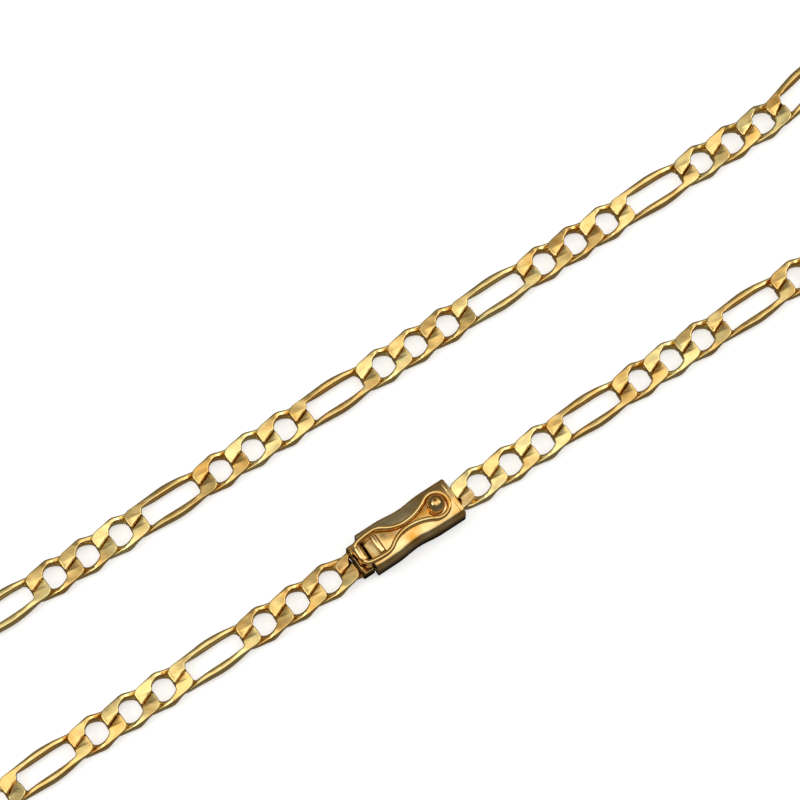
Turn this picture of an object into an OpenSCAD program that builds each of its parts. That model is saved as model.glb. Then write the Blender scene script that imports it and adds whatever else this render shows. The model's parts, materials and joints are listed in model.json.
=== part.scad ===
// Figaro chain with a box clasp and a figure-eight safety catch.
// Frame: X along the two straight stretches, Y across them, Z up from the surface that it lies on.
// Every link is a closed loop of wire with six sides, filed flat above and below.

/* [Chain] */
// Width of the chain across its links
chain_w = 4; // [3.8:0.05:4.6]
// Height of the chain between its filed faces
chain_h = 1.3; // [1.2:0.05:1.6]
// Length from joint to joint along a short link
short_pitch = 3.92; // [3.8:0.02:4.6]
// Length from joint to joint along a long link
long_pitch = 8.05; // [6:0.05:10]
// How far the end of a link reaches past its joint
link_reach = 0.84; // [0.8:0.01:0.9]
// Width of the wire along the sides of a link
side_w = 0.86; // [0.7:0.02:0.9]
// Height of the wire at the ends and along the sides of a link
wire_h = 1; // [0.8:0.02:1.04]
// Free play between two links at a joint
link_play = 0.26; // [0.24:0.01:0.32]
// Number of short links between two long ones
short_run = 3; // [2:1:4]
// Number of long links
long_count = 24; // [22:1:27]

/* [Lay] */
// Distance between the middles of the two straight stretches
stretch_gap = 15.8; // [14:0.2:30]
// Radius of the bends at both ends
bend_r = 23; // [22:0.5:26]
// Middle of the clasp box along its stretch
box_x = -5.35; // [-12:0.05:8]

/* [Clasp box] */
// Length of the box
box_l = 10.6; // [10:0.1:14]
// Width of the box
box_w = 4.4; // [4.2:0.1:5]
// Height of the box
box_h = 2.9; // [2.6:0.1:3.6]
// Thickness of the sheet that the box is folded from
box_wall = 0.35; // [0.3:0.05:0.4]
// Slope cut along the long edges of the box
box_bevel = 0.3; // [0.1:0.05:0.4]
// Width of the notch in the roof
notch_w = 2.2; // [1.8:0.1:2.3]
// Distance from the joint of the box's eye to the end of the box
box_neck = 1.05; // [1.05:0.05:1.8]
// Radius of the ball stud on the roof
ball_r = 0.95; // [0.8:0.05:1]
// Height of the middle of the ball above the roof
ball_lift = 0.65; // [0.65:0.01:0.75]
// Distance from the mouth of the box to the ball stud
ball_x = 8.35; // [8:0.05:8.6]

/* [Clasp tongue] */
// Length of the head block
head_l = 1.25; // [1.25:0.05:2]
// Width of the head block
head_w = 3.4; // [3.3:0.05:3.8]
// Height of the top of the head block
head_h = 1.8; // [1.7:0.05:2]
// Distance from the joint of the tongue's eye to the head block
head_neck = 1.05; // [1.05:0.05:1.5]
// Thickness of the spring leaf
leaf_t = 0.25; // [0.2:0.01:0.3]
// Width of the spring leaf
leaf_w = 2.6; // [2:0.1:2.9]
// Distance from the mouth of the box to the fold of the leaf
leaf_x = 8.6; // [7:0.1:9.2]
// Distance from the mouth of the box to the thumb tab
tab_x = 1; // [0.8:0.02:1.2]
// Thickness of the thumb tab
tab_t = 0.6; // [0.3:0.05:0.65]
// Height of the thumb tab above the roof
tab_h = 0.35; // [0.2:0.05:0.45]
// Outer radius of the hinge knuckle
knuckle_r = 0.48; // [0.44:0.01:0.52]
// Length of the hinge knuckle
knuckle_l = 1.6; // [1.2:0.1:1.8]
// Distance from the hinge to the mouth of the box
hinge_x = 0.74; // [0.65:0.01:0.8]

/* [Eyes] */
// Width of the eyes that the chain is joined to
eye_w = 3.2; // [3.1:0.05:3.3]
// Depth that an eye is sunk into the metal it is soldered to
eye_sink = 0.2; // [0.15:0.05:0.3]

/* [Safety catch] */
// Diameter of the wire
catch_d = 0.5; // [0.4:0.01:0.54]
// Running clearance of the wire in the knuckle, all round
catch_fit = 0.04; // [0.03:0.01:0.08]
// Radius of the loop round the ball, to the middle of the wire
catch_ball_loop = 1.34; // [1.32:0.01:1.42]
// Distance from the mouth of the box to the waist
waist_x = 4.75; // [4.5:0.05:5.5]
// Distance from the mouth of the box to the widest place near the hinge
hip_x = 1.5; // [1.3:0.05:1.7]
// Half the width of the loop there, to the middle of the wire
hip_y = 1.4; // [1.36:0.01:1.5]
// Radius of the bend there
hip_r = 1.8; // [1.6:0.05:2]

/* [Clearances] */
// Gap between pieces that don't touch
gap = 0.1; // [0.08:0.01:0.14]

/* [Hidden] */
$fn = 32;
gold = "#d9a632";
deep_gold = "#c98f22";

// Sections of a quarter of a link between its end and the middle of its side.
// Columns: place along the chain from the joint, in link_reach; place across, in half the width
// of the link; width of the section, in chain_w; turn of the section in degrees; underside above
// the middle, in half chain_h; flat share of the lower face; flat share of the upper face.
along = 0;
across = 1;
span = 2;
swing = 3;
under = 4;
lower_flat = 5;
upper_flat = 6;
link_sections = [
    [-0.04, 0.275, 0.425, 0, 0.20, 0.35, 0.92],
    [0.84, 0.690, 0.310, 46, 0.06, 0.50, 0.84],
];
wire_flat = 0.42;
// Corners of a section, as [across its width, up its height], in the order that the skin follows
corners = [[1, -1], [1, 0], [1, 1], [-1, 1], [-1, 0], [-1, -1]];
sides = len(corners);
rings = 12;

mid_z = chain_h / 2;
link_count = long_count * (short_run + 1) + short_run;
box_x0 = box_x - box_l / 2;
box_x1 = box_x + box_l / 2;
right_joint = box_x1 + box_neck;
head_x1 = box_x0 - gap;
head_x0 = head_x1 - head_l;
left_joint = head_x0 - head_neck;
row_y = -stretch_gap / 2;

// The lie of the loop: straight stretches, with a bulb of three equal bends at both ends.
chain_l = joint_place(link_count);
flare = acos((stretch_gap / 2 + bend_r) / (2 * bend_r));
bulb = 180 + 2 * flare;
bulb_l = arc_length(bulb) + 2 * arc_length(flare);
stretch_l = (chain_l + right_joint - left_joint) / 2 - bulb_l;
// Legs of the route from the box's eye round to the tongue's: length, and turn to the left
route = [
    [stretch_l / 2 - right_joint, 0],
    [arc_length(flare), -flare],
    [arc_length(bulb), bulb],
    [arc_length(flare), -flare],
    [stretch_l, 0],
    [arc_length(flare), -flare],
    [arc_length(bulb), bulb],
    [arc_length(flare), -flare],
    [stretch_l / 2 + left_joint, 0],
];
halfway = ceil(link_count / 2);

roof_z = box_h;
catch_r = catch_d / 2;
hinge_z = roof_z + gap + catch_r;
hinge = box_x0 - hinge_x;
arm_y = knuckle_l / 2 + gap + catch_r;
waist_y = catch_r + gap / 2;
notch_l = tab_x + tab_t + gap;
tab_w = notch_w - 2 * gap;
head_z0 = gap;
post_w = 1.55 * knuckle_r;
catch_sides = 8;
// How far a cut runs past the face that it opens
past = 1;

function arc_length(angle) = bend_r * angle * PI / 180;
function is_long(k) = k % (short_run + 1) == short_run;
function pitch_of(k) = is_long(k) ? long_pitch : short_pitch;
function longs_before(k) = floor(k / (short_run + 1));
function joint_place(k) = longs_before(k) * long_pitch + (k - longs_before(k)) * short_pitch;

// Point of the route at a distance s from its start
function route_point(s, leg = 0, at = [right_joint, row_y], head = 0) =
    let (l = route[leg][0], turn = route[leg][1], last = leg == len(route) - 1)
    let (d = last ? s : min(s, l), t = turn * d / l, r = turn == 0 ? 0 : l / (turn * PI / 180))
    let (step = turn == 0
        ? d * [cos(head), sin(head)]
        : r * [sin(head + t) - sin(head), cos(head) - cos(head + t)])
    s <= l || last ? at + step : route_point(s - l, leg + 1, at + step, head + t);

// One section: its middle, the directions of its width and height, and half of each
function section(mid, wide, tall, half_w, half_h, lower, upper) = [
    for (c = corners)
        let (share = c[1] == 0 ? 1 : c[1] < 0 ? lower : upper)
        mid + wide * c[0] * half_w * share + tall * c[1] * half_h
];
function table_section(row, joint, w) =
    let (low = row[under] * mid_z)
    section([joint + row[along] * link_reach, row[across] * w / 2, (mid_z + low) / 2],
        [cos(row[swing]), -sin(row[swing]), 0], [0, 0, 1],
        row[span] * chain_w / 2, (mid_z - low) / 2, row[lower_flat], row[upper_flat]);
function end_section(joint) =
    section([joint - link_reach / 2 - link_play / 4, 0, 0], [0, 0, 1], [-1, 0, 0],
        wire_h / 2, link_reach / 2 - link_play / 4, wire_flat, wire_flat);
function side_section(w) =
    section([0, w / 2 - side_w / 2, 0], [0, -1, 0], [0, 0, 1],
        side_w / 2, wire_h / 2, wire_flat, wire_flat);

// The same section at the place that half a turn about Y or Z brings it to
function about_y(ring) = [
    for (i = [0:sides - 1]) let (p = ring[(sides + 2 - i) % sides]) [-p[0], p[1], -p[2]]
];
function about_z(ring) = [
    for (i = [0:sides - 1]) let (p = ring[(i + sides / 2) % sides]) [-p[0], -p[1], p[2]]
];
// All sections of a link about its own middle, clockwise from its left end
function link_rings(pitch, w) =
    let (low = table_section(link_sections[0], -pitch / 2, w))
    let (high = table_section(link_sections[1], -pitch / 2, w))
    let (half = [end_section(-pitch / 2), low, high, side_section(w), about_y(high), about_y(low)])
    concat(half, [for (r = half) about_z(r)]);

// Beside a link's ends the faces towards the next link fold inwards.
function folds_in(k, i) =
    (k == 0 || k == rings - 1) ? (i == 0 || i > 3) : (k == 5 || k == 6) ? (i > 0 && i < 4) : false;
// Triangles between neighbouring rings, from ring first on, with start as the first point's number
function skin(first, count, closed, start = 0) = [
    for (j = [0:count - 1], i = [0:sides - 1])
        let (a = start + j * sides, n = start + (closed ? (j + 1) % count : j + 1) * sides)
        let (p = a + i, q = a + (i + 1) % sides, r = n + i, s = n + (i + 1) % sides)
        each (folds_in((first + j) % rings, i) ? [[p, q, r], [q, s, r]] : [[p, q, s], [p, s, r]])
];
function laid(p, at, head) =
    [at[0] + p[0] * cos(head) - p[1] * sin(head), at[1] + p[0] * sin(head) + p[1] * cos(head), mid_z + p[2]];
// Points of link k where it lies between its two joints
function link_points(k) =
    let (a = route_point(joint_place(k)), b = route_point(joint_place(k + 1)))
    let (head = atan2(b[1] - a[1], b[0] - a[0]))
    [for (r = link_rings(pitch_of(k), chain_w), p = r) laid(p, (a + b) / 2, head)];

module links(first, last) {
    polyhedron(
        points = [for (k = [first:last]) each link_points(k)],
        faces = [for (k = [first:last]) each skin(0, rings, true, (k - first) * rings * sides)]
    );
}

// Half a link of its own, soldered on as an eye, from ring first on, with its joint at x
module eye(first, x, neck) {
    count = rings / 2;
    pitch = 2 * (neck + eye_sink);
    all_rings = link_rings(pitch, eye_w);
    shift = first == 3 ? x - pitch / 2 : x + pitch / 2;
    last = count * sides;
    polyhedron(
        points = [for (j = [0:count], p = all_rings[(first + j) % rings]) laid(p, [shift, row_y], 0)],
        faces = concat(
            skin(first, count, false),
            [[for (i = [sides - 1:-1:0]) i], [for (i = [0:sides - 1]) last + i]]
        )
    );
}

// A prism along X over the outline of the box, drawn in by inset, with bevel b
module box_prism(x, l, inset, b) {
    w = box_w / 2 - inset;
    z0 = inset;
    z1 = roof_z - inset;
    translate([x, row_y, 0])
        rotate([90, 0, 90])
            linear_extrude(l)
                polygon([[b - w, z0], [w - b, z0], [w, z0 + b], [w, z1 - b],
                    [w - b, z1], [b - w, z1], [-w, z1 - b], [-w, z0 + b]]);
}

module chain_right() color(gold) links(0, halfway - 1);
module chain_left() color(gold) links(halfway, link_count - 1);

module clasp_box() color(deep_gold) {
    difference() {
        box_prism(box_x0, box_l, 0, box_bevel);
        box_prism(box_x0 - past, box_l - box_wall + past, box_wall, box_bevel / 3);
        translate([box_x0 - past, row_y - notch_w / 2, roof_z / 2])
            cube([notch_l + past, notch_w, roof_z]);
    }
    translate([box_x0 + ball_x, row_y, roof_z + ball_lift]) sphere(ball_r);
    eye(3, right_joint, box_neck);
}

// Side view of the spring leaf: out from the head, round the fold, and back up to the tab
module leaf_outline() {
    low = box_wall + gap;
    fold_x = box_x0 + leaf_x;
    fold_z = low + 1.5 * leaf_t;
    high = roof_z - box_wall - gap;
    tip_x = box_x0 + tab_x - gap / 2;
    bend_x = box_x0 + tab_x + tab_t + gap / 2;
    translate([head_x1 - leaf_t, low]) square([fold_x - head_x1 + leaf_t, leaf_t]);
    translate([fold_x, fold_z])
        difference() {
            circle(1.5 * leaf_t);
            circle(leaf_t / 2);
            translate([-2 * leaf_t, -2 * leaf_t]) square([2 * leaf_t, 4 * leaf_t]);
        }
    polygon([[fold_x, low + 2 * leaf_t], [fold_x, low + 3 * leaf_t],
        [bend_x, high], [tip_x, high], [tip_x, high - leaf_t], [bend_x, high - leaf_t]]);
}

// Side view of the post that carries the knuckle, with its slope towards the eye
module post_outline() {
    polygon([[head_x0 + gap, head_h - gap], [head_x1, head_h - gap], [head_x1, head_h],
        [hinge + post_w / 2, head_h], [hinge + post_w / 2, hinge_z], [hinge - post_w / 2, hinge_z],
        [head_x0 + gap, head_h]]);
}

// A plate of width w that stands along the stretch, over a side view
module upright(w) {
    translate([0, row_y + w / 2, 0]) rotate([90, 0, 0]) linear_extrude(w) children();
}

module clasp_tongue() color(deep_gold) {
    upright(leaf_w) leaf_outline();
    translate([box_x0 + tab_x, row_y - tab_w / 2, roof_z - box_wall - gap - leaf_t / 2])
        cube([tab_t, tab_w, box_wall + gap + leaf_t / 2 + tab_h]);
    difference() {
        union() {
            translate([head_x0, row_y - head_w / 2, head_z0]) cube([head_l, head_w, head_h - head_z0]);
            upright(knuckle_l) post_outline();
            translate([hinge, row_y - knuckle_l / 2, hinge_z])
                rotate([-90, 0, 0])
                    cylinder(h = knuckle_l, r = knuckle_r);
        }
        translate([hinge, row_y - knuckle_l, hinge_z])
            rotate([-90, 0, 0])
                cylinder(h = 2 * knuckle_l, r = catch_r + catch_fit);
    }
    eye(9, left_joint, head_neck);
}

// Points of an arc, from angle a to angle b in count steps, without its last point
function arc(mid, r, a, b, count) = [
    for (i = [0:count - 1]) let (t = a + (b - a) * i / count) mid + r * [cos(t), sin(t)]
];
// Radius of the waist's bend, which touches a bend of radius r whose middle is [dx, y] away
function waist_radius(dx, y, r) = (dx * dx + (waist_y - y) ^ 2 - r * r) / (2 * (r - waist_y + y));
// One side of the loop from the hinge round to the far end, seen from above, about the mouth
function catch_side() =
    let (hip_mid = [hip_x, hip_y - hip_r], ball_mid = [ball_x, 0])
    let (near_r = waist_radius(waist_x - hip_x, hip_y - hip_r, hip_r))
    let (far_r = waist_radius(ball_x - waist_x, 0, catch_ball_loop))
    let (near_mid = [waist_x, waist_y + near_r], far_mid = [waist_x, waist_y + far_r])
    let (to_near = near_mid - hip_mid, to_far = far_mid - ball_mid)
    let (near_a = atan2(to_near[1], to_near[0]), far_a = atan2(to_far[1], to_far[0]))
    let (run = hip_x + hinge_x, rise = hip_y - arm_y, arm_r = (run * run + rise * rise) / (2 * rise))
    let (arm_a = asin(run / arm_r))
    concat(
        arc([hip_x, hip_y - arm_r], arm_r, 90 + arm_a, 90, 3),
        arc(hip_mid, hip_r, 90, near_a, 3),
        arc(near_mid, near_r, near_a + 180, 270, 5),
        arc(far_mid, far_r, -90, far_a - 180, 5),
        arc(ball_mid, catch_ball_loop, far_a, 0, 8)
    );

// The round wire through a list of points in one level, with sides that never lie flat upwards
module wire(points, z) {
    n = len(points);
    ring = [for (i = [0:catch_sides - 1]) let (t = 360 * (i + 0.5) / catch_sides) [cos(t), sin(t)]];
    function ahead(k) = points[min(k + 1, n - 1)] - points[max(k - 1, 0)];
    function left(k) = let (d = k == 0 || k == n - 1 ? [k == 0 ? 1 : -1, 0] : ahead(k)) [-d[1], d[0]] / norm(d);
    polyhedron(
        points = [
            for (k = [0:n - 1], c = ring)
                let (p = points[k] + left(k) * catch_r * c[0])
                [box_x0 + p[0], row_y + p[1], z + catch_r * c[1]]
        ],
        faces = concat(
            [
                for (k = [0:n - 2], i = [0:catch_sides - 1])
                    let (a = k * catch_sides, j = (i + 1) % catch_sides, b = a + catch_sides)
                    each [[a + i, b + j, a + j], [a + i, b + i, b + j]]
            ],
            [[for (i = [0:catch_sides - 1]) i], [for (i = [catch_sides - 1:-1:0]) (n - 1) * catch_sides + i]]
        )
    );
}

module safety_catch() color(gold) {
    upper = catch_side();
    lower = [for (i = [len(upper) - 1:-1:0]) [upper[i][0], -upper[i][1]]];
    wire(concat(upper, [[ball_x + catch_ball_loop, 0]], lower), hinge_z);
    translate([hinge, row_y - arm_y - catch_r, hinge_z])
        rotate([-90, 0, 0])
            cylinder(h = 2 * (arm_y + catch_r), r = catch_r);
}

chain_right();
chain_left();
clasp_box();
clasp_tongue();
safety_catch();
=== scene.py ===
import json
import math

import bmesh
import bpy
import numpy as np
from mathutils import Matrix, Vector


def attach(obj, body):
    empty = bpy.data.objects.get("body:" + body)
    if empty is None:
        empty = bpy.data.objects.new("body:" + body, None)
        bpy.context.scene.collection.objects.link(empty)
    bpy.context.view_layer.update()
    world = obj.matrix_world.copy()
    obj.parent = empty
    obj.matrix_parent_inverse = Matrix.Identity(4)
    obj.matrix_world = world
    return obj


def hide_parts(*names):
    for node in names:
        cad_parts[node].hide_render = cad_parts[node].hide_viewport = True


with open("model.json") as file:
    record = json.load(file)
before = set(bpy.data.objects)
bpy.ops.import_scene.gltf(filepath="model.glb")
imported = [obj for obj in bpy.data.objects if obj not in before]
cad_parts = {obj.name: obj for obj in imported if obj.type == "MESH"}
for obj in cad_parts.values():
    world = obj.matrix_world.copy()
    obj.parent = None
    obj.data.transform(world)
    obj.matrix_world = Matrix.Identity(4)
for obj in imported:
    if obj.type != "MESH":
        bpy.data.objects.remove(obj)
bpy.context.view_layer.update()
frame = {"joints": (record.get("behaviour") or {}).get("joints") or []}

# Sizes are in millimetres and angles in degrees, unless a note says otherwise. X runs along the two straight
# stretches, Y across them, Z up.
mm = 0.001
hinge = [value / mm for value in frame["joints"][0]["pos_m"]]  # the catch's hinge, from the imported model
rowY = hinge[1]  # middle of the stretch with the clasp


def fromHex(code):
    # sRGB hex to the linear colour that a shader takes
    parts = [int(code[i:i + 2], 16) / 255 for i in (1, 3, 5)]
    return tuple([p / 12.92 if p <= 0.04045 else ((p + 0.055) / 1.055) ** 2.4 for p in parts] + [1.0])


def clamped(value):
    return min(max(value, 0.0), 1.0)


def addNode(tree, kind, settings=None, links=None):
    # links: input name or number -> a value, or (node, output name or number)
    node = tree.nodes.new(kind)
    for key, value in (settings or {}).items():
        setattr(node, key, value)
    for key, value in (links or {}).items():
        if isinstance(value, tuple) and isinstance(value[0], bpy.types.Node):
            tree.links.new(value[0].outputs[value[1]], node.inputs[key])
        else:
            node.inputs[key].default_value = value
    return node


def newMaterial(name):
    material = bpy.data.materials.new(name)
    material.use_nodes = True
    return material, material.node_tree, material.node_tree.nodes["Principled BSDF"]


def newObject(name, data):
    piece = bpy.data.objects.new(name, data)
    bpy.context.scene.collection.objects.link(piece)
    return piece


# Camera and stage
camera = {
    "target": (1.5, 4.1, 0.0),  # the point in the middle of the picture
    "azimuth": -34.1,
    "elevation": 72.0,
    "lens": 180.0,
    "sensor": 36.0,
    "width": 81.2,  # what the picture spans at the target
    "clip": (0.1, 10.0),  # what it sees, in distances to the target
}


def lookingFrom(azimuth, elevation):
    a, e = math.radians(azimuth), math.radians(elevation)
    return Vector((math.sin(a) * math.cos(e), -math.cos(a) * math.cos(e), math.sin(e)))


def makeCamera():
    data = bpy.data.cameras.new("camera")
    data.lens, data.sensor_width = camera["lens"], camera["sensor"]
    back = lookingFrom(camera["azimuth"], camera["elevation"])
    away = camera["width"] * camera["lens"] / camera["sensor"]
    data.clip_start, data.clip_end = [share * away * mm for share in camera["clip"]]
    body = newObject("camera", data)
    body.location = (Vector(camera["target"]) + back * away) * mm
    body.rotation_mode = "QUATERNION"
    body.rotation_quaternion = (-back).to_track_quat("-Z", "Y")
    bpy.context.scene.camera = body
    bpy.context.scene.view_settings.view_transform = "Standard"


makeCamera()
print("camera ready")

stage = {
    "floorSize": 4000.0,
    "floorDrop": 0.02,  # keeps the floor just clear of the links' filed faces
    "floorColour": "#F1F1F1",
    "floorRoughness": 0.9,
    "floorGlow": 0.50,  # the paper lies on a light table, which fills its shadows
    # The paper as the metal mirrors it: darker than it looks, because the photo's was whitened afterwards
    "mirroredColour": "#FFF6E6",
    "mirroredStrength": 0.15,
    "skyColour": "#FFFEFA",
    "skyStrength": 1.38,  # overhead, like the roof of a light tent
    "wallStrength": 0.12,  # round the horizon, where the tent is open
    "backdropStrength": 1.0,  # what the camera sees beyond the paper's edge
    "skyTurn": 0.32,  # how far the roof reaches down behind the chain, and stays up on the camera's side
    "skySpan": (0.5, 1.0),  # sines of the heights at which the roof begins and is full
    # Part of the roof behind the chain is dimmer. The far half of the clasp mirrors its middle and looks
    # dark, and the filed faces mirror its rim and shade from one link to the next.
    "dimAzimuth": 164.0,
    "dimElevation": 49.0,
    "dimSpan": (0.80, 0.999),  # cosines from the middle of that part at which it begins and is full
    "dimShare": 0.12,  # brightness left in its middle
    # Softboxes: azimuth and elevation seen from the chain, distance, width, height, brightness
    "softboxes": [
        ("left", -110.0, 42.0, 520.0, 260.0, 120.0, 4.0),
        ("right", 75.0, 38.0, 560.0, 180.0, 120.0, 4.0),
    ],
}


def makeFloor():
    half, low = stage["floorSize"] * mm / 2, -stage["floorDrop"] * mm
    mesh = bpy.data.meshes.new("floor")
    mesh.from_pydata([(-half, -half, low), (half, -half, low), (half, half, low), (-half, half, low)],
                     [], [(0, 1, 2, 3)])
    # Matt white paper: even and without gloss, and it glows a little from below
    paper, tree, shader = newMaterial("matt_paper")
    shader.inputs["Base Color"].default_value = fromHex(stage["floorColour"])
    shader.inputs["Roughness"].default_value = stage["floorRoughness"]
    shader.inputs["Emission Color"].default_value = (1.0, 1.0, 1.0, 1.0)
    shader.inputs["Emission Strength"].default_value = stage["floorGlow"]
    ray = addNode(tree, "ShaderNodeLightPath")
    mirrored = addNode(tree, "ShaderNodeEmission", {},
                       {"Color": fromHex(stage["mirroredColour"]), "Strength": stage["mirroredStrength"]})
    chosen = addNode(tree, "ShaderNodeMixShader", {},
                     {0: (ray, "Is Glossy Ray"), 1: (shader, 0), 2: (mirrored, 0)})
    tree.links.new(chosen.outputs[0], tree.nodes["Material Output"].inputs[0])
    mesh.materials.append(paper)
    newObject("floor", mesh)


def makeSky():
    world = bpy.data.worlds.new("studio")
    world.use_nodes = True
    tree = world.node_tree
    way = addNode(tree, "ShaderNodeTexCoord"), "Generated"

    def towards(direction):
        return addNode(tree, "ShaderNodeVectorMath", {"operation": "DOT_PRODUCT"},
                       {0: way, 1: tuple(direction)}), 1

    def fade(value, span, before, after):
        return addNode(tree, "ShaderNodeMapRange", {"interpolation_type": "SMOOTHSTEP"},
                       {0: value, 1: span[0], 2: span[1], 3: before, 4: after}), 0

    behind = -lookingFrom(camera["azimuth"], 0.0)
    roof = fade(towards(behind * stage["skyTurn"] + Vector((0.0, 0.0, 1.0))),
                stage["skySpan"], stage["wallStrength"], stage["skyStrength"])
    dim = fade(towards(lookingFrom(stage["dimAzimuth"], stage["dimElevation"])),
               stage["dimSpan"], 1.0, stage["dimShare"])
    light = addNode(tree, "ShaderNodeMath", {"operation": "MULTIPLY"}, {0: roof, 1: dim})
    ray = addNode(tree, "ShaderNodeLightPath")
    strength = addNode(tree, "ShaderNodeMix", {},
                       {"Factor": (ray, "Is Camera Ray"), 2: (light, 0), 3: stage["backdropStrength"]})
    background = tree.nodes["Background"]
    background.inputs["Color"].default_value = fromHex(stage["skyColour"])
    tree.links.new(strength.outputs[0], background.inputs["Strength"])
    bpy.context.scene.world = world


def makeSoftboxes():
    for name, azimuth, elevation, away, width, height, brightness in stage["softboxes"]:
        light = bpy.data.lights.new(name, "AREA")
        light.shape, light.size, light.size_y = "RECTANGLE", width * mm, height * mm
        light.energy = brightness * math.pi * width * height * mm * mm
        lamp = newObject(name, light)
        back = lookingFrom(azimuth, elevation)
        lamp.location = back * away * mm
        lamp.rotation_mode = "QUATERNION"
        lamp.rotation_quaternion = back.to_track_quat("Z", "Y")


makeFloor()
makeSky()
makeSoftboxes()
print("stage ready")


# Finishes. Sizes of patterns are in millimetres.
polish = {
    "lineLength": 10.0,  # of a line, in its own widths
    "lineSpan": (0.3, 0.7),  # noise of the faintest and the deepest lines
    "lineRoughness": (0.75, 1.3),  # what these two do to the roughness
    "paintedShadeShine": "#3C2E18",  # where shade is painted, the white shine that the metal has at a low angle is dimmed too
}


def goldPlate(name, look):
    # Polished yellow gold plate over brass: a clear yellow mirror whose tone drifts from pale to amber, with
    # fine lines from the file and the polishing wheel and soft dimples that bend its reflections. Painted
    # shade turns it brown to near black where its mask says, in the chain's grooves and low on the clasp.
    # Each link of the chain has a tone and a slight lean of its own, so no two filed faces look the same.
    material, tree, shader = newMaterial(name)

    def maths(operation, first, second, third=0.0):
        return addNode(tree, "ShaderNodeMath", {"operation": operation}, {0: first, 1: second, 2: third}), 0

    def noise(vector, size, detail):
        return addNode(tree, "ShaderNodeTexNoise", {},
                       {"Vector": vector, "Scale": 1 / (size * mm), "Detail": detail}), 0

    def attribute(label, output):
        return addNode(tree, "ShaderNodeAttribute", {"attribute_name": label}), output

    def colourMix(share, unshaded, shaded, target):
        mixed = addNode(tree, "ShaderNodeMix", {"data_type": "RGBA"},
                        {"Factor": share, 6: unshaded, 7: shaded})
        tree.links.new(mixed.outputs[2], shader.inputs[target])

    place = addNode(tree, "ShaderNodeTexCoord"), "Object"
    drift = maths("MULTIPLY_ADD", attribute("linkTone", "Fac"), look["ownShare"],
                  noise(place, look["driftSize"], 2.0))
    tone = addNode(tree, "ShaderNodeValToRGB", {}, {0: drift})
    colours = look["deepColour"], look["colour"]
    for stop, spot, code in zip(tone.color_ramp.elements, look["rampSpots"], colours):
        stop.position, stop.color = spot, fromHex(code)
    # Painted shade: where the mask says, the colour goes towards a dark brown and the low-angle shine is
    # dimmed
    shadeAmount = maths("MULTIPLY", attribute("oxide", "Fac"), look["paintedShadeShare"])
    colourMix(shadeAmount, (tone, 0), fromHex(look["paintedShadeColour"]), "Base Color")
    colourMix(shadeAmount, (1.0, 1.0, 1.0, 1.0), fromHex(polish["paintedShadeShine"]), "Specular Tint")

    # Lines from the wheel and the file, drawn as wide as the picture can show
    turned = addNode(tree, "ShaderNodeMapping", {},
                     {0: place, "Rotation": (0.0, 0.0, math.radians(look["lineTurn"]))})
    drawn = addNode(tree, "ShaderNodeMapping", {},
                    {0: (turned, 0), "Scale": (1 / polish["lineLength"], 1.0, 1.0)})
    lines = noise((drawn, 0), look["lineWidth"], 3.0)
    (faint, deep), (smooth, rough) = polish["lineSpan"], polish["lineRoughness"]
    uneven = addNode(tree, "ShaderNodeMapRange", {}, {0: lines, 1: faint, 2: deep, 3: smooth, 4: rough}), 0
    spread = maths("MULTIPLY_ADD", attribute("filed", "Fac"), look["filedRoughness"] - look["roughness"],
                   look["roughness"])
    tree.links.new(maths("MULTIPLY", spread, uneven)[0].outputs[0], shader.inputs["Roughness"])

    # Heights in metres: dimples, lines and the lean, a slope over the whole link
    dimples = maths("MULTIPLY", noise(place, look["dimpleSize"], 1.0), look["dimpleDepth"] * mm)
    relief = maths("MULTIPLY_ADD", lines, look["lineDepth"] * mm, dimples)
    slope = addNode(tree, "ShaderNodeVectorMath", {"operation": "DOT_PRODUCT"},
                    {0: place, 1: attribute("linkLean", "Vector")}), 1
    bump = addNode(tree, "ShaderNodeBump", {},
                   {"Height": maths("ADD", relief, slope), "Distance": 1.0, "Strength": 1.0})
    tree.links.new(bump.outputs[0], shader.inputs["Normal"])
    shader.inputs["Metallic"].default_value = 1.0
    return material


# Filed faces are a little duller than the wheel's polish, the pressed clasp is the brightest, and the drawn
# wire keeps fine lines and no painted shade
finishes = {
    "chain": {
        "colour": "#FFEBA4", "deepColour": "#F5BE66", "rampSpots": (0.35, 1.0),
        "ownShare": 0.4, "driftSize": 1.6,
        "roughness": 0.20, "filedRoughness": 0.22, "lineWidth": 0.11, "lineDepth": 0.003, "lineTurn": 40.0,
        # painted shade in the chain's grooves: a warm brown where the links' rounded edges are shaded
        "dimpleSize": 2.0, "dimpleDepth": 0.13, "paintedShadeShare": 0.6, "paintedShadeColour": "#C08632",
    },
    "clasp": {
        "colour": "#FFE4A8", "deepColour": "#D99E44", "rampSpots": (0.3, 0.7),
        "ownShare": 0.0, "driftSize": 2.0,
        "roughness": 0.12, "filedRoughness": 0.12, "lineWidth": 0.1, "lineDepth": 0.002, "lineTurn": 0.0,
        # painted shade and painted dark reflection: near black low on the clasp's sides and in its notch
        "dimpleSize": 1.4, "dimpleDepth": 0.05, "paintedShadeShare": 0.96, "paintedShadeColour": "#3A280C",
    },
    "catch": {
        "colour": "#FFE09A", "deepColour": "#E8B25A", "rampSpots": (0.3, 0.7),
        "ownShare": 0.0, "driftSize": 1.5,
        "roughness": 0.13, "filedRoughness": 0.13, "lineWidth": 0.08, "lineDepth": 0.002, "lineTurn": 20.0,
        "dimpleSize": 0.8, "dimpleDepth": 0.012, "paintedShadeShare": 0.0, "paintedShadeColour": "#5A3A14",
    },
}
chainGold = goldPlate("polished_gold_plate", finishes["chain"])
claspGold = goldPlate("stamped_gold_plate", finishes["clasp"])
catchGold = goldPlate("drawn_gold_wire", finishes["catch"])
print("finishes ready")


# Shapes
bevelFrom = 35.0  # edges that turn by more than this are rounded


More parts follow.
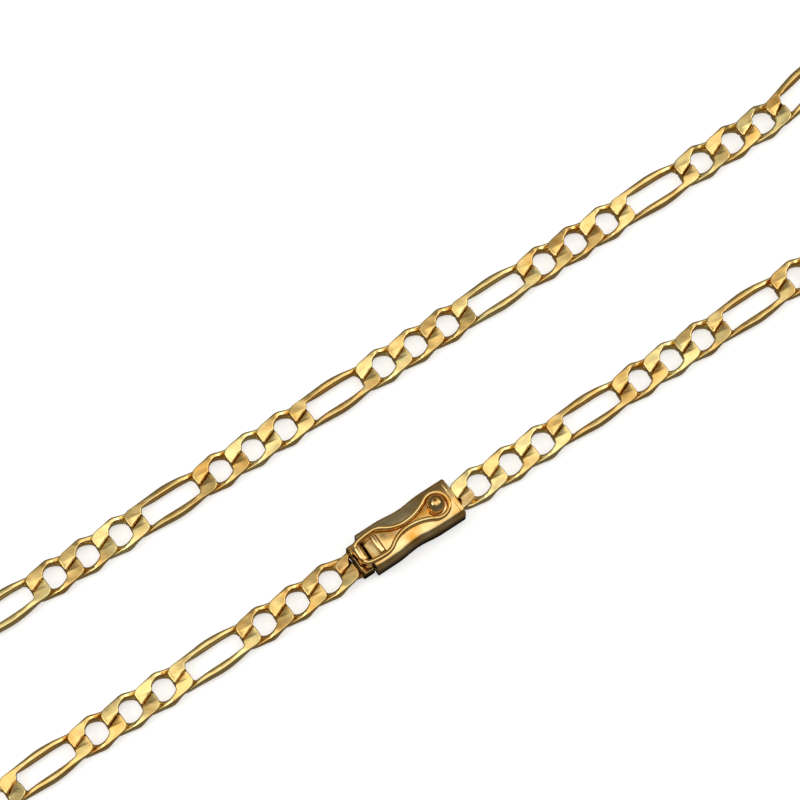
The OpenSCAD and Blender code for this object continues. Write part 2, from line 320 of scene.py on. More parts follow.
def makeMesh(name, points, faces):
    mesh = bpy.data.meshes.new(name)
    mesh.from_pydata([tuple(float(v) * mm for v in p) for p in points], [], faces)
    mesh.validate()
    mesh.polygons.foreach_set("use_smooth", [True] * len(mesh.polygons))
    return mesh


def addValues(mesh, name, values):
    mesh.attributes.new(name, "FLOAT", "POINT").data.foreach_set("value", values)


def loft(rings, closed, poles=None):
    # Quads between neighbouring rings of one length. A row that isn't closed ends in flat faces, or in fans
    # round its two poles.
    count, size = len(rings), len(rings[0])
    points = [p for ring in rings for p in ring]
    faces = []
    for k in range(count if closed else count - 1):
        for i in range(size):
            a, b = k * size + i, k * size + (i + 1) % size
            c, d = (k + 1) % count * size + i, (k + 1) % count * size + (i + 1) % size
            faces.append((a, b, d, c))
    if poles:
        first, last = len(points), (count - 1) * size
        points += poles
        for i in range(size):
            faces.append((first, (i + 1) % size, i))
            faces.append((first + 1, last + i, last + (i + 1) % size))
    elif not closed:
        faces.append(tuple(range(size))[::-1])
        faces.append(tuple((count - 1) * size + i for i in range(size)))
    return points, faces


def prism(outline, width):
    # A plate over a side view, across the middle of the clasp
    return loft([[(x, rowY + y, z) for x, z in outline] for y in (-width / 2, width / 2)], False)


def revolve(profile, x, y, count):
    # profile: radii and heights from the pole at the top to the pole below
    turns = [2 * math.pi * i / count for i in range(count)]
    rings = [[(x + r * math.cos(t), y + r * math.sin(t), z) for t in turns] for r, z in profile[1:-1]]
    return loft(rings, False, [(x, y, profile[0][1]), (x, y, profile[-1][1])])


def arc(x, y, radius, start, end, count):
    # Points of an arc from one angle to another, both ends included, in count steps
    angles = [math.radians(start + (end - start) * i / count) for i in range(count + 1)]
    return [(x + radius * math.cos(a), y + radius * math.sin(a)) for a in angles]


def bevelled(part, width):
    # The same part with its sharp edges rounded
    points, faces = part
    work = bmesh.new()
    corners = [work.verts.new(p) for p in points]
    for face in faces:
        work.faces.new([corners[i] for i in face])
    bmesh.ops.recalc_face_normals(work, faces=work.faces)
    sharp = [edge for edge in work.edges if edge.calc_face_angle(0) > math.radians(bevelFrom)]
    bmesh.ops.bevel(work, geom=sharp, offset=width, segments=2, profile=0.5, affect="EDGES",
                    clamp_overlap=True)
    work.verts.index_update()
    rounded = [tuple(v.co) for v in work.verts], [tuple(v.index for v in face.verts) for face in work.faces]
    work.free()
    return rounded


def newPiece(name, parts, body, material):
    # One object from parts that are soldered together, in place of a node of the imported model. Each part
    # comes with two heights of painted shade: up to the first it is darkened fully, and from the second not
    # at all.
    points, faces, oxide = [], [], []
    for (partPoints, partFaces), (shadeFull, shadeNone) in parts:
        faces += [tuple(i + len(points) for i in face) for face in partFaces]
        points += partPoints
        oxide += [clamped((shadeNone - p[2]) / (shadeNone - shadeFull)) for p in partPoints]
    mesh = makeMesh(name + "_metal", points, faces)
    addValues(mesh, "oxide", oxide)
    work = bmesh.new()
    work.from_mesh(mesh)
    bmesh.ops.recalc_face_normals(work, faces=work.faces)
    work.to_mesh(mesh)
    work.free()
    mesh.materials.append(material)
    piece = newObject(name + "_metal", mesh)
    modifier = piece.modifiers.new("even_shading", "WEIGHTED_NORMAL")
    modifier.keep_sharp = True
    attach(piece, body)
    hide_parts(name)
    print(name, len(mesh.polygons), "faces")


# Links
link = {
    "shortPitch": 3.92,
    "longPitch": 8.05,
    "width": 4.0,
    "height": 1.3,  # between the filed faces
    "steps": 3,  # rings from each section of the tables below to the next
    "seamTurn": 21.0,  # direction of the seam between two links on the filed face, from X
    "seamUpright": 0.2,  # up to this far from the chain's middle the seam turns evenly with the height
    "seamFlat": 0.75,  # from here outwards it keeps one direction above and one below
    "seamCurve": 0.7,  # power of the height with which it turns
    "seamGap": 0.05,  # at the middle of the seam
    "seamOpens": 0.04,  # how much each side draws back at the seam's ends
    "seamReach": 0.8,  # how far from the joint they are
    "seamLongest": 1.2,  # in reaches, where it opens no further
    "seamWear": 0.15,  # how much lower the filed faces are where they are worn along the seam
    "wearFull": 0.12,  # the wear is full where the seam cuts off this share of a section
    "wearSide": 1.5,  # how much lower the side starts under a worn edge, in wears
    # Three points of a filed face towards its inner edge: steps from the edge, more steps where it is worn,
    # share of the wear
    "wornEdge": [(3, 5, 0.04), (2, 2.4, 0.36), (1, 0.4, 0.90)],
    "edge": 0.06,  # width of the worn edge round a filed face
    "flatSteps": 11,  # a filed face is at least this many steps wide
    "flatLeast": 0.1,  # and at least this share of its section
    "flatRange": (0.2, 0.95),  # shares of a flat that the smooth curves may reach
    "sideLeast": 0.05,  # least share between the outer and the inner side
    "sideSpots": (0.46, 0.88),  # points on a rounded side, as shares of its turn from the widest place
    "sharpTurn": 38.0,  # how much less a side turns to meet a flat at a sharp edge
    "jointReach": (0.5, 1.0),  # sections nearer to the joint than this, along and across, meet the next link
    "grooveShadeReach": (0.55, 1.25),  # the painted shade in the grooves is full and ends at these distances from a joint
    # Sections of a quarter of a link, from its left end to the middle of its side. Columns, about the joint:
    # outer edge along and across, inner edge along and across, top, underside, flat share above and below,
    # how sharp the edge of the flat is above and below. All links share the end's sections.
    "end": [
        (-0.92, 0.00, 0.20, 0.00, 0.65, -0.65, 0.86, 0.86, 1.0, 1.0),
        (-0.925, 0.16, 0.55, 0.15, 0.65, -0.62, 0.88, 0.80, 1.0, 0.8),
        (-0.93, 0.40, 0.84, 0.30, 0.65, -0.30, 0.92, 0.40, 1.0, 0.0),
        (-0.90, 0.84, 0.93, 0.54, 0.65, 0.07, 0.93, 0.35, 1.0, 0.0),
        (-0.74, 1.22, 1.02, 0.74, 0.65, 0.07, 0.92, 0.35, 1.0, 0.0),
        (-0.26, 1.50, 1.22, 0.92, 0.65, 0.06, 0.88, 0.35, 1.0, 0.0),
    ],
    "shortSide": [
        (0.95, 1.74, 1.60, 1.09, 0.65, -0.20, 0.66, 0.30, 0.8, 0.0),
        (1.96, 1.97, 1.96, 1.13, 0.53, -0.53, 0.25, 0.25, 0.0, 0.0),
    ],
    "longSide": [
        (0.95, 1.62, 1.62, 0.94, 0.65, -0.20, 0.66, 0.30, 0.8, 0.0),
        (2.45, 1.82, 2.60, 0.93, 0.54, -0.54, 0.25, 0.25, 0.0, 0.0),
        (4.025, 1.93, 4.025, 0.93, 0.54, -0.54, 0.25, 0.25, 0.0, 0.0),
    ],
}


def seamSide(height, across):
    # Direction that points from the seam into the link, at a height and a distance from the chain's middle
    away = clamped((abs(across) - link["seamUpright"]) / (link["seamFlat"] - link["seamUpright"]))
    full = link["height"] / 2 * (1 - away * away * (3 - 2 * away)) + 1e-6
    share = min(max(height / full, -1.0), 1.0)
    bend = math.copysign(abs(share) ** link["seamCurve"], share)
    turn = math.radians(90 - (90 - link["seamTurn"]) * bend)
    return np.array((-math.sin(turn), math.cos(turn)))


def seamLimit(middle, half, height):
    # How far towards the inner edge a section may reach before it meets the next link
    limit = 1.0
    for _ in range(3):
        place = middle + half * limit
        inwards = seamSide(height, place[1])
        along = min(np.hypot(*place) / link["seamReach"], link["seamLongest"])
        gap = link["seamGap"] / 2 + link["seamOpens"] * along ** 2
        slope = inwards @ half
        limit = min(1.0, (gap - inwards @ middle) / slope) if slope < -1e-6 else 1.0
    return limit


def linkSection(row):
    # One ring of a link: five points each of top, inner side, underside and outer side. A spot is a share
    # from the middle of the section to its inner edge, and a height.
    outer, inner = np.array(row[0:2]), np.array(row[2:4])
    top, low, topFlat, lowFlat, topSharp, lowSharp = row[4:]
    middle, half = (outer + inner) / 2, (inner - outer) / 2
    level = (top + low) / 2
    nearJoint = middle[0] < link["jointReach"][0] and abs(middle[1]) < link["jointReach"][1]

    def limitAt(height):
        return seamLimit(middle, half, height) if nearJoint else 1.0

    def wear(share, height):
        # How much a filed face is worn down where it ends at the seam
        return link["seamWear"] * clamped((share - limitAt(height)) / link["wearFull"])

    def filedFace(share, height):
        inside = min(share, limitAt(height))
        outside = min(-share, inside - link["flatLeast"])
        step = min(link["edge"] / np.hypot(*half), (inside - outside) / link["flatSteps"])
        worn = wear(share, height)
        wider, drop = worn / link["seamWear"], -math.copysign(worn, height)
        spots = [(outside + step, height), (outside + 2 * step, height)]
        for steps, more, part in link["wornEdge"]:
            spots.append((inside - (steps + more * wider) * step, height + part * drop))
        return spots

    def roundSide(end, flat, sharp, spots):
        # From the widest place towards the edge of a flat
        most = math.radians(90 - link["sharpTurn"] * sharp)
        return [(1 - (1 - flat) * (1 - math.cos(most * spot)) / (1 - math.cos(most)),
                 level + (end - level) * math.sin(most * spot) / math.sin(most)) for spot in spots]

    sides = roundSide(top, topFlat, topSharp, link["sideSpots"][::-1]) + [(1.0, level)]
    sides += roundSide(low, lowFlat, lowSharp, link["sideSpots"])
    highest = top - link["wearSide"] * wear(topFlat, top)
    lowest = low + link["wearSide"] * wear(lowFlat, low)
    innerSide = [(min(share, limitAt(height)), min(max(height, lowest), highest)) for share, height in sides]
    outerSide = [(min(-share, inside - link["sideLeast"]), height)
                 for (share, height), (inside, _) in zip(sides, innerSide)]
    spots = filedFace(topFlat, top) + innerSide + filedFace(lowFlat, low)[::-1] + outerSide[::-1]
    places = [(middle + half * share, height) for share, height in spots]
    return [(place[0], place[1], height) for place, height in places]


def smoothRows(rows, count):
    # Rows between the table's own, on smooth curves through them, with the turned rows as neighbours
    def turned(row, x, y):
        return [x[0], y[0], x[1], y[1], -row[5], -row[4], row[7], row[6], row[9], row[8]]

    rows = np.array(rows, float)
    first, last, before = rows[1], rows[-1], rows[-2]
    start = turned(first, (first[0], first[2]), (-first[1], -first[3]))
    end = turned(before, (2 * last[0] - before[0], 2 * last[2] - before[2]), (before[1], before[3]))
    full = np.vstack([start, rows, end])
    out = []
    for k in range(len(rows) - 1):
        a, b, c, d = full[k:k + 4]
        for t in np.arange(count) / count:
            rise = (c - a) * t + (2 * a - 5 * b + 4 * c - d) * t * t + (3 * b - a - 3 * c + d) * t ** 3
            out.append(0.5 * (2 * b + rise))
    out.append(full[-2])
    for row in out:
        row[4:6] = np.clip(row[4:6], -link["height"] / 2, link["height"] / 2)
        row[6:8] = np.clip(row[6:8], *link["flatRange"])
        row[8:10] = np.clip(row[8:10], 0.0, 1.0)
    return out


def halfLink(pitch, width):
    # Rings of the upper half of a link about its middle, from its left end to just before its right end,
    # and the number of the ring at the middle of its side
    rows = np.array(link["end"] + (link["longSide"] if pitch > link["shortPitch"] else link["shortSide"]))
    rows[:, [0, 2]] *= np.where(rows[:, [0, 2]] > 0, pitch / 2 / rows[-1, 0], 1.0)
    rows[:, [1, 3]] *= width / link["width"]
    sections = [linkSection(row) for row in smoothRows(rows, link["steps"])]
    quarter = [[(x - pitch / 2, y, z) for x, y, z in section] for section in sections]
    size = len(quarter[0])
    turned = [(14 - i) % size for i in range(size)]  # a half turn about Y swaps a ring's top and underside
    aboutY = [[(-ring[i][0], ring[i][1], -ring[i][2]) for i in turned] for ring in reversed(quarter[:-1])]
    return quarter + aboutY[:-1], len(quarter) - 1


def aboutZ(rings):
    return [[(-x, -y, z) for x, y, z in ring] for ring in rings]


def groovePaintedShade(place, pitch):
    # Painted shade: brown in the grooves at the joints, fading with the distance from a joint and gone at the
    # level of the filed faces
    full, end = link["grooveShadeReach"]
    near = clamped((end - math.hypot(abs(place[0]) - pitch / 2, place[1])) / (end - full))
    return near * min((link["height"] / 2 - abs(place[2])) / link["seamWear"], 1.0)


def makeLink(name, pitch):
    half, _ = halfLink(pitch, link["width"])
    rings = half + aboutZ(half)
    points, faces = loft(rings, True)
    mesh = makeMesh(name, points, [face[::-1] for face in faces])
    # Five points on a filed face and five on a side take turns round each ring
    addValues(mesh, "filed", [1.0 if i % 10 < 5 else 0.0 for ring in rings for i in range(len(ring))])
    # painted shade in the grooves
    addValues(mesh, "oxide", [groovePaintedShade(place, pitch) for place in points])
    return newObject(name, mesh)


# Route of the chain round its loop, from the box's joint to the tongue's
route = {
    "rightJoint": 1.0,
    "leftJoint": -13.05,
    "bendRadius": 23.0,
    "shortRun": 3,  # short links between two long ones
    "longCount": 24,
    "step": 0.2,  # of the curve's points in a bend
    "play": 0.8,  # links are turned by up to this, either way
    "lean": 0.07,  # largest slope of a link's filed faces, along and across, for its reflections alone
    "seed": 7,
}


def bent(at, head, radius, turn):
    # Where a bend has come to after a turn
    after = head + turn
    return at + radius * np.array((math.sin(after) - math.sin(head), math.cos(head) - math.cos(after)))


def routePoints():
    radius, gap = route["bendRadius"], -2 * rowY
    flare = math.acos((gap / 2 + radius) / (2 * radius))
    bulb = math.pi + 2 * flare
    count = route["longCount"] * (route["shortRun"] + 1) + route["shortRun"]
    whole = route["longCount"] * link["longPitch"] + (count - route["longCount"]) * link["shortPitch"]
    stretch = (whole + route["rightJoint"] - route["leftJoint"]) / 2 - radius * (bulb + 2 * flare)
    # Legs: a length, and a turn to the left in radians
    bends = [(radius * flare, -flare), (radius * bulb, bulb), (radius * flare, -flare)]
    legs = [(stretch / 2 - route["rightJoint"], 0)] + bends + [(stretch, 0)] + bends
    legs.append((stretch / 2 + route["leftJoint"], 0))
    at, head, points = np.array((route["rightJoint"], rowY)), 0.0, []
    for length, turn in legs:
        if turn:
            parts = max(1, math.ceil(length / route["step"]))
            points += [bent(at, head, length / turn, turn * j / parts) for j in range(parts)]
            at = bent(at, head, length / turn, turn)
            head += turn
        else:
            points.append(at)
            at = at + length * np.array((math.cos(head), math.sin(head)))
    return points + [at], count


def routeCurve(points):
    data = bpy.data.curves.new("route", "CURVE")
    data.dimensions = "3D"
    line = data.splines.new("POLY")
    line.points.add(len(points) - 1)
    for spot, (x, y) in zip(line.points, points):
        spot.co = (x * mm, y * mm, link["height"] / 2 * mm, 1)
    return newObject("route", data)


def linkTree():
    tree = bpy.data.node_groups.new("links_along_route", "GeometryNodeTree")
    inputs = {
        "Route": "Object", "Short link": "Object", "Long link": "Object", "First": "Int", "Count": "Int",
        "Short run": "Int", "Short pitch": "Float", "Long pitch": "Float", "Turn": "Float", "Lean": "Float",
        "Seed": "Int", "Finish": "Material",
    }
    for label, kind in inputs.items():
        tree.interface.new_socket(label, in_out="INPUT", socket_type="NodeSocket" + kind)
    tree.interface.new_socket("Links", in_out="OUTPUT", socket_type="NodeSocketGeometry")

    def add(kind, settings=None, links=None):
        return addNode(tree, kind, settings, links)

    def maths(operation, first, second):
        return add("ShaderNodeMath", {"operation": operation}, {0: first, 1: second}), 0

    def mark(geometry, name, kind, value):
        return add("GeometryNodeStoreNamedAttribute", {"data_type": kind, "domain": "INSTANCE"},
                   {"Geometry": geometry, "Name": name, "Value": value}), 0

    given = add("NodeGroupInput")
    number = maths("ADD", (add("GeometryNodeInputIndex"), 0), (given, "First"))
    every = maths("ADD", (given, "Short run"), 1.0)
    points = add("GeometryNodePoints", {}, {"Count": (given, "Count")})
    line = add("GeometryNodeObjectInfo", {}, {"Object": (given, "Route")})

    def jointAt(k):
        longs = maths("FLOOR", maths("DIVIDE", k, every), 0.0)
        longPart = maths("MULTIPLY", longs, (given, "Long pitch"))
        shortPart = maths("MULTIPLY", maths("SUBTRACT", k, longs), (given, "Short pitch"))
        sample = add("GeometryNodeSampleCurve", {"mode": "LENGTH", "use_all_curves": True},
                     {"Curves": (line, "Geometry"), "Length": maths("ADD", longPart, shortPart)})
        return sample, "Position"

    # Each link lies between two joints of the route, and points from one to the other
    start, end = jointAt(number), jointAt(maths("ADD", number, 1.0))
    middle = add("ShaderNodeMix", {"data_type": "VECTOR"}, {"Factor": 0.5, 4: start, 5: end})
    placed = add("GeometryNodeSetPosition", {}, {"Geometry": (points, 0), "Position": (middle, 1)})
    step = add("ShaderNodeVectorMath", {"operation": "SUBTRACT"}, {0: end, 1: start})
    parts = add("ShaderNodeSeparateXYZ", {}, {0: (step, 0)})
    heading = maths("ARCTAN2", (parts, 1), (parts, 0))
    play = add("FunctionNodeRandomValue", {"data_type": "FLOAT"},
               {2: maths("MULTIPLY", (given, "Turn"), -1.0), 3: (given, "Turn"), "Seed": (given, "Seed")})
    angles = add("ShaderNodeCombineXYZ", {}, {2: maths("ADD", heading, (play, 1))})
    turned = add("FunctionNodeEulerToRotation", {}, {0: (angles, 0)})
    isLong = maths("COMPARE", maths("FLOORED_MODULO", number, every), (given, "Short run"))
    isShort = maths("SUBTRACT", 1.0, isLong)

    joined = add("GeometryNodeJoinGeometry")
    for label, chosen in (("Short link", isShort), ("Long link", isLong)):
        shape = add("GeometryNodeObjectInfo", {}, {"Object": (given, label)})
        laid = add("GeometryNodeInstanceOnPoints", {},
                   {"Points": (placed, 0), "Selection": chosen, "Instance": (shape, "Geometry"),
                    "Rotation": (turned, 0)})
        tree.links.new(laid.outputs[0], joined.inputs[0])

    # A tone and a lean of each link's own, which the finish reads
    tone = add("FunctionNodeRandomValue", {"data_type": "FLOAT"},
               {2: 0.0, 3: 1.0, "Seed": maths("ADD", (given, "Seed"), 1.0)})
    most = add("ShaderNodeCombineXYZ", {}, {0: (given, "Lean"), 1: (given, "Lean")})
    least = add("ShaderNodeVectorMath", {"operation": "SCALE"}, {0: (most, 0), "Scale": -1.0})
    slope = add("FunctionNodeRandomValue", {"data_type": "FLOAT_VECTOR"},
                {0: (least, 0), 1: (most, 0), "Seed": maths("ADD", (given, "Seed"), 2.0)})
    toned = mark((joined, 0), "linkTone", "FLOAT", (tone, 1))
    leaning = mark(toned, "linkLean", "FLOAT_VECTOR", (slope, 0))
    real = add("GeometryNodeRealizeInstances", {}, {0: leaning})
    finished = add("GeometryNodeSetMaterial", {}, {"Geometry": (real, 0), "Material": (given, "Finish")})
    add("NodeGroupOutput", {}, {0: (finished, 0)})
    return tree


def runTree(name, tree, values):
    host = newObject(name + "_host", bpy.data.meshes.new(name))
    modifier = host.modifiers.new("nodes", "NODES")
    modifier.node_group = tree
    for socket in tree.interface.items_tree:
        if socket.item_type == "SOCKET" and socket.in_out == "INPUT":
            modifier[socket.identifier] = values[socket.name]
    graph = bpy.context.evaluated_depsgraph_get()
    mesh = bpy.data.meshes.new_from_object(host.evaluated_get(graph), preserve_all_data_layers=True,
                                           depsgraph=graph)
    host.modifiers.remove(modifier)
    bpy.data.objects.remove(host)
    return mesh


def makeChain():
    points, count = routePoints()
    line = routeCurve(points)
    shortLink = makeLink("short_link", link["shortPitch"])
    longLink = makeLink("long_link", link["longPitch"])
    tree = linkTree()
    halfway = math.ceil(count / 2)
    for name, first, last in (("chain_right", 0, halfway), ("chain_left", halfway, count)):
        mesh = runTree(name, tree, {
            "Route": line, "Short link": shortLink, "Long link": longLink,
            "First": first, "Count": last - first, "Short run": route["shortRun"],
            "Short pitch": link["shortPitch"] * mm, "Long pitch": link["longPitch"] * mm,
            "Turn": math.radians(route["play"]), "Lean": route["lean"], "Seed": route["seed"],
            "Finish": chainGold,
        })
        piece = newObject(name + "_links", mesh)
        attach(piece, "necklace")
        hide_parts(name)
        print(name, len(mesh.polygons), "faces")
    for helper in (line, shortLink, longLink):
        bpy.data.objects.remove(helper)


makeChain()
print("links ready")

# What the box and the tongue share. The heights of a part's painted shade are those that newPiece takes.
clasp = {
    "mouth": -10.65,  # open end of the box, which the tongue goes into
    "eyeWidth": 3.2,
    "eyeNeck": 1.05,  # from its joint to the metal that it is soldered to
    "eyeSink": 0.2,
    "eyePaintedShade": (-1.0, 0.0),  # no painted shade anywhere
}


def eye(joint, right):
    # Half of a narrower link, soldered on with its cut ends sunk into the metal
    pitch = 2 * (clasp["eyeNeck"] + clasp["eyeSink"])
    half, middle = halfLink(pitch, clasp["eyeWidth"])
    rings = half[middle:] + aboutZ(half[:middle + 1])
    shift = joint - pitch / 2 if right else joint + pitch / 2
    if not right:
        rings = aboutZ(rings)
    rings = [[(x + shift, y + rowY, z + link["height"] / 2) for x, y, z in ring] for ring in rings]
    return loft(rings, False)


# Box: one folded sheet with a closed end, slightly crowned and waisted as if pressed, with the ball stud
box = {
    "length": 10.6, "width": 4.4, "height": 2.9, "wall": 0.35,
    "crown": 0.42,  # how much lower the roof is at its edges
    "crownPower": 2.6,
    "roofCorner": 0.7, "floorCorner": 0.35, "cornerLeast": 0.08,
    "roofTurn": 84.0,  # where the corner's arc meets the crowned roof
    "waist": 0.22, "waistAt": 5.0, "waistReach": 2.7,
    "notchWidth": 2.2, "notchLength": 1.7,
    "step": 0.52,  # between the rings along the box
    "grooveAt": 10.08, "grooveDepth": 0.035, "grooveWidth": 0.08,  # seam of the end plate
    "grooveClear": 0.2,  # no ring is nearer before it
    # painted shade: the box darkens towards the bottom, fully below the first height and not at all above the
    # second
    "endRound": 0.18, "edge": 0.05, "oxide": (1.3, 2.4),
    # painted shade at the ball's foot, darker towards the roof
    "ballAt": 8.35, "ballRadius": 0.95, "ballHeight": 3.55, "ballSides": 40, "ballPaintedShade": (2.8, 2.9),
    "ballEnd": -32.0,  # where the ball passes into its solder
    # Solder round the ball's foot: radii, and heights about the roof
    "solder": [(0.775, 0.085), (0.79, 0.03), (0.86, -0.015), (0.94, -0.05), (0.94, -0.2)],
}


def boxRing(along, inset):
    # Outline of the box at a distance from its mouth, drawn in by inset: middle of the roof, far side, floor
    away = min(abs(along - box["waistAt"]) / box["waistReach"], 1.0)
    half = box["width"] / 2 - box["waist"] * (1 + math.cos(math.pi * away)) / 2 - inset
    top, low = box["height"] - inset, inset

    def roof(y):
        return top - box["crown"] * (abs(y) / half) ** box["crownPower"]

    upper = max(box["roofCorner"] - inset, box["cornerLeast"])
    lower = max(box["floorCorner"] - inset, box["cornerLeast"])
    notch = box["notchWidth"] / 2
    side = [(y, roof(y)) for y in (0.0, notch / 2, notch)]
    side += arc(half - upper, roof(half - upper) - upper, upper, box["roofTurn"], 0, 6)
    side += arc(half - lower, low + lower, lower, 0, -90, 5)
    side += [(notch, low), (0.0, low)]
    outline = side + [(-y, z) for y, z in reversed(side[1:-1])]
    return [(clasp["mouth"] + along, rowY + y, z) for y, z in outline]


def boxShell():
    notch, length, wall, step = box["notchLength"], box["length"], box["wall"], box["step"]
    shared = [0.0, notch / 2, notch]
    shared += list(np.arange(notch + step, box["grooveAt"] - box["grooveClear"], step))
    groove = [(box["grooveAt"] + box["grooveWidth"] * part, depth)
              for part, depth in ((0, 0.0), (0.5, box["grooveDepth"]), (1, 0.0))]
    bend = arc(length - box["endRound"], box["endRound"], box["endRound"], -90, 0, 4)
    outer = [boxRing(s, 0.0) for s in shared] + [boxRing(s, inset) for s, inset in groove + bend]
    inner = [boxRing(s, wall) for s in shared] + [boxRing(length - wall, wall)]
    size = len(outer[0])
    points = [p for ring in outer + inner for p in ring]
    base = len(outer) * size
    # The notch takes these columns of the roof, up to this ring
    notchColumns, notchRing = (size - 2, size - 1, 0, 1), 2
    faces = []
    for k in range(len(outer) - 1):
        for i in range(size):
            if k < notchRing and i in notchColumns:
                continue
            a, b = k * size + i, k * size + (i + 1) % size
            faces.append((a, b, b + size, a + size))
            if k < len(inner) - 1:
                faces.append((base + a, base + a + size, base + b + size, base + b))
    for i in range(size):
        row = notchRing * size if i in notchColumns else 0
        a, b = row + i, row + (i + 1) % size
        faces.append((a, base + a, base + b, b))
    for k in range(notchRing):
        for i in (2, size - 2):
            a, b = k * size + i, (k + 1) * size + i
            faces.append((a, b, base + b, base + a))
    for rings, start in ((outer, 0), (inner, base)):
        last = start + (len(rings) - 1) * size
        points.append((rings[-1][0][0], rowY, box["height"] / 2))
        faces += [(last + i, last + (i + 1) % size, len(points) - 1) for i in range(size)]
    return bevelled((points, faces), box["edge"])


def ballStud():
    # A ball with a fillet of solder round its foot
    ball = arc(0.0, box["ballHeight"], box["ballRadius"], 90, box["ballEnd"], 16)
    foot = [(r, box["height"] + up) for r, up in box["solder"]]
    return revolve(ball + foot + [(0.0, foot[-1][1])], clasp["mouth"] + box["ballAt"], rowY, box["ballSides"])


newPiece("clasp_box", [
    (boxShell(), box["oxide"]),
    (ballStud(), box["ballPaintedShade"]),
    (eye(route["rightJoint"], True), clasp["eyePaintedShade"]),
], "necklace", claspGold)

# Tongue: head block with the hinge's knuckle and an eye, and a folded leaf with the thumb tab
tongue = {
    "headX": (-12.07, -10.75), "headZ": (0.1, 1.8), "headWidth": 3.4, "headChamfer": 0.2, "headEdge": 0.12,
    # painted shade: the head darkens towards the bottom
    "headPaintedShade": (1.2, 2.4),
    "knuckleRadius": 0.48, "boreRadius": 0.29, "knuckleLength": 1.6, "knuckleEdge": 0.04,
    # painted shade: the post and knuckle darken towards the bottom
    "knucklePaintedShade": (1.6, 2.9),
    "postHalf": 0.372, "postFoot": 0.14, "postSink": 0.08,
    "boreFrom": -65.0,  # where the bore's outline starts, below the side of the post
    "leafWidth": 2.6, "leafThickness": 0.25, "leafEdge": 0.03,
    "leafPaintedShade": (-3.0, 6.0),  # painted shade over all of it, a little stronger lower down
    "leafFront": [(-11.0, 0.575), (-6.5, 0.575)], "foldAt": (-2.05, 0.825), "foldRadius": 0.25,
    "leafBack": [(-5.5, 1.72), (-9.0, 2.325), (-9.9, 2.325), (-10.45, 2.16)],
    "tabX": (-9.65, -9.05), "tabWidth": 2.0, "tabFoot": 2.25, "tabTop": 3.25, "tabRound": 0.22,
    # painted shade: the tab darkens towards its foot
    "tabEdge": 0.06, "tabPaintedShade": (2.4, 2.9),
}


def knuckle():
    # Tube for the catch's wire on a post, as one outline round the bore
    radius, half, steps = tongue["knuckleRadius"], tongue["postHalf"], 20
    meets = math.degrees(math.acos(half / radius))
    base = tongue["headZ"][1] - tongue["postSink"]
    x, z = hinge[0], hinge[2]
    outer = [(x + half, base)] + arc(x, z, radius, -meets, 180 + meets, steps)
    outer.append((x - half - tongue["postFoot"], base))
    angles = [-meets + (180 + 2 * meets) * i / steps for i in range(steps + 1)]
    angles = [tongue["boreFrom"]] + angles + [180 - tongue["boreFrom"]]
    inner = [arc(x, z, tongue["boreRadius"], angle, angle, 1)[0] for angle in angles]
    near, far = rowY - tongue["knuckleLength"] / 2, rowY + tongue["knuckleLength"] / 2
    rings = [[(px, y, pz) for px, pz in outline]
             for outline, y in ((outer, near), (outer, far), (inner, far), (inner, near))]
    return bevelled(loft(rings, True), tongue["knuckleEdge"])


def leaf():
    # Strip of spring sheet, out to the fold and back up past the tab
    path = tongue["leafFront"] + arc(*tongue["foldAt"], tongue["foldRadius"], -90, 90, 8) + tongue["leafBack"]
    path = [np.array(p) for p in path]
    corners = ((1, 1), (1, -1), (-1, -1), (-1, 1))  # upper or lower face, far or near edge
    half = tongue["leafWidth"] / 2
    rings = []
    for k, place in enumerate(path):
        way = path[min(k + 1, len(path) - 1)] - path[max(k - 1, 0)]
        up = np.array((-way[1], way[0])) / np.hypot(*way) * tongue["leafThickness"] / 2
        rings.append([(place[0] + face * up[0], rowY + side * half, place[1] + face * up[1])
                      for face, side in corners])
    return bevelled(loft(rings, False), tongue["leafEdge"])


def tab():
    (x0, x1), foot, top, r = tongue["tabX"], tongue["tabFoot"], tongue["tabTop"], tongue["tabRound"]
    crest = arc(x0 + r, top - r, r, 180, 90, 4) + arc(x1 - r, top - r, r, 90, 0, 4)
    outline = [(x0, foot)] + crest + [(x1, foot)]
    return bevelled(prism(outline, tongue["tabWidth"]), tongue["tabEdge"])


def headBlock():
    (x0, x1), (z0, z1), cut = tongue["headX"], tongue["headZ"], tongue["headChamfer"]
    outline = [(x0, z0), (x1, z0), (x1, z1), (x0 + cut, z1), (x0, z1 - cut)]
    return bevelled(prism(outline, tongue["headWidth"]), tongue["headEdge"])


newPiece("clasp_tongue", [
    (headBlock(), tongue["headPaintedShade"]),
    (knuckle(), tongue["knucklePaintedShade"]),
    (leaf(), tongue["leafPaintedShade"]),
    (tab(), tongue["tabPaintedShade"]),
    (eye(route["leftJoint"], False), clasp["eyePaintedShade"]),
], "necklace", claspGold)

# Safety catch: one round wire through the knuckle and out into a figure eight. Places are about the mouth.
catch = {
    "wire": 0.25, "sides": 14, "oxide": (0.0, 1.0),
    "pin": (0.0, 0.45, 0.8),  # points of the straight part in the knuckle
    "armY": 1.15, "cornerRound": 0.32, "cornerTurn": 80.0, "cornerOut": 0.02,
    "armShare": 0.72,  # part of the arm's bend that lies beyond the corner
    "hipAt": 1.5, "hipHalf": 1.4, "hipRadius": 1.8,
    "waistAt": 4.75, "waistHalf": 0.30,
    "ballAt": 8.35, "ballRadius": 1.34,
}


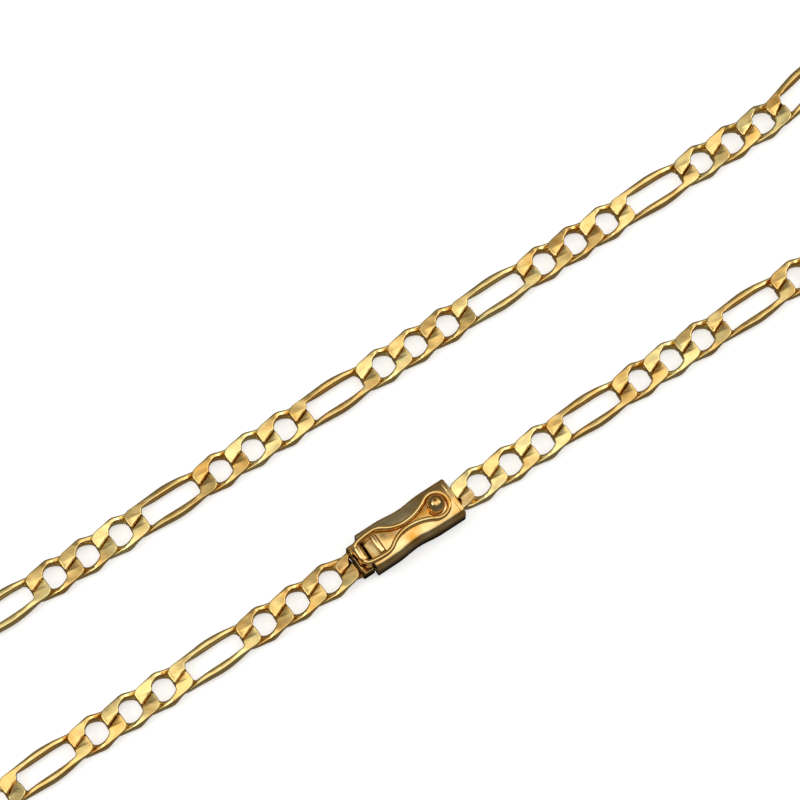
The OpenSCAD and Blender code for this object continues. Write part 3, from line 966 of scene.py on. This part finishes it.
def catchSide():
    # One side of the wire's middle line, from the middle of the hinge round to the far end
    hip, waist, far = catch["hipAt"], catch["waistAt"], catch["ballAt"]
    start = hinge[0] - clasp["mouth"]
    hipY, low = catch["hipHalf"] - catch["hipRadius"], catch["waistHalf"]

    def waistRadius(along, y, radius):
        # Radius of the waist's bend, which touches a bend whose middle is that far away
        return (along ** 2 + (low - y) ** 2 - radius ** 2) / (2 * (radius - low + y))

    near = waistRadius(waist - hip, hipY, catch["hipRadius"])
    beyond = waistRadius(far - waist, 0.0, catch["ballRadius"])
    nearTurn = math.degrees(math.atan2(low + near - hipY, waist - hip))
    farTurn = math.degrees(math.atan2(low + beyond, waist - far))
    run, rise = hip - start, catch["hipHalf"] - catch["armY"]
    armRadius = (run ** 2 + rise ** 2) / (2 * rise)
    armTurn = math.degrees(math.asin(run / armRadius)) * catch["armShare"]
    corner = catch["cornerRound"]
    cornerY = catch["armY"] - corner + catch["cornerOut"]
    line = [(start, y) for y in catch["pin"]]
    line += arc(start + corner, cornerY, corner, 180, 180 - catch["cornerTurn"], 5)
    line += arc(hip, catch["hipHalf"] - armRadius, armRadius, 90 + armTurn, 90, 6)[:-1]
    line += arc(hip, hipY, catch["hipRadius"], 90, nearTurn, 8)[:-1]
    line += arc(waist, low + near, near, nearTurn - 180, -90, 10)[:-1]
    line += arc(waist, low + beyond, beyond, -90, farTurn - 180, 10)[:-1]
    line += arc(far, 0.0, catch["ballRadius"], farTurn, 0, 16)
    return line


def catchWire():
    side = catchSide()
    line = [np.array((clasp["mouth"] + x, rowY + y)) for x, y in side + [(x, -y) for x, y in side[-2:0:-1]]]
    turns = [2 * math.pi * (i + 0.5) / catch["sides"] for i in range(catch["sides"])]
    rings = []
    for k, place in enumerate(line):
        way = line[(k + 1) % len(line)] - line[k - 1]
        out = np.array((-way[1], way[0])) / np.hypot(*way) * catch["wire"]
        rings.append([(place[0] + out[0] * math.cos(t), place[1] + out[1] * math.cos(t),
                       hinge[2] + catch["wire"] * math.sin(t)) for t in turns])
    return loft(rings, True)


newPiece("safety_catch", [(catchWire(), catch["oxide"])], "catch", catchGold)
print("clasp ready")
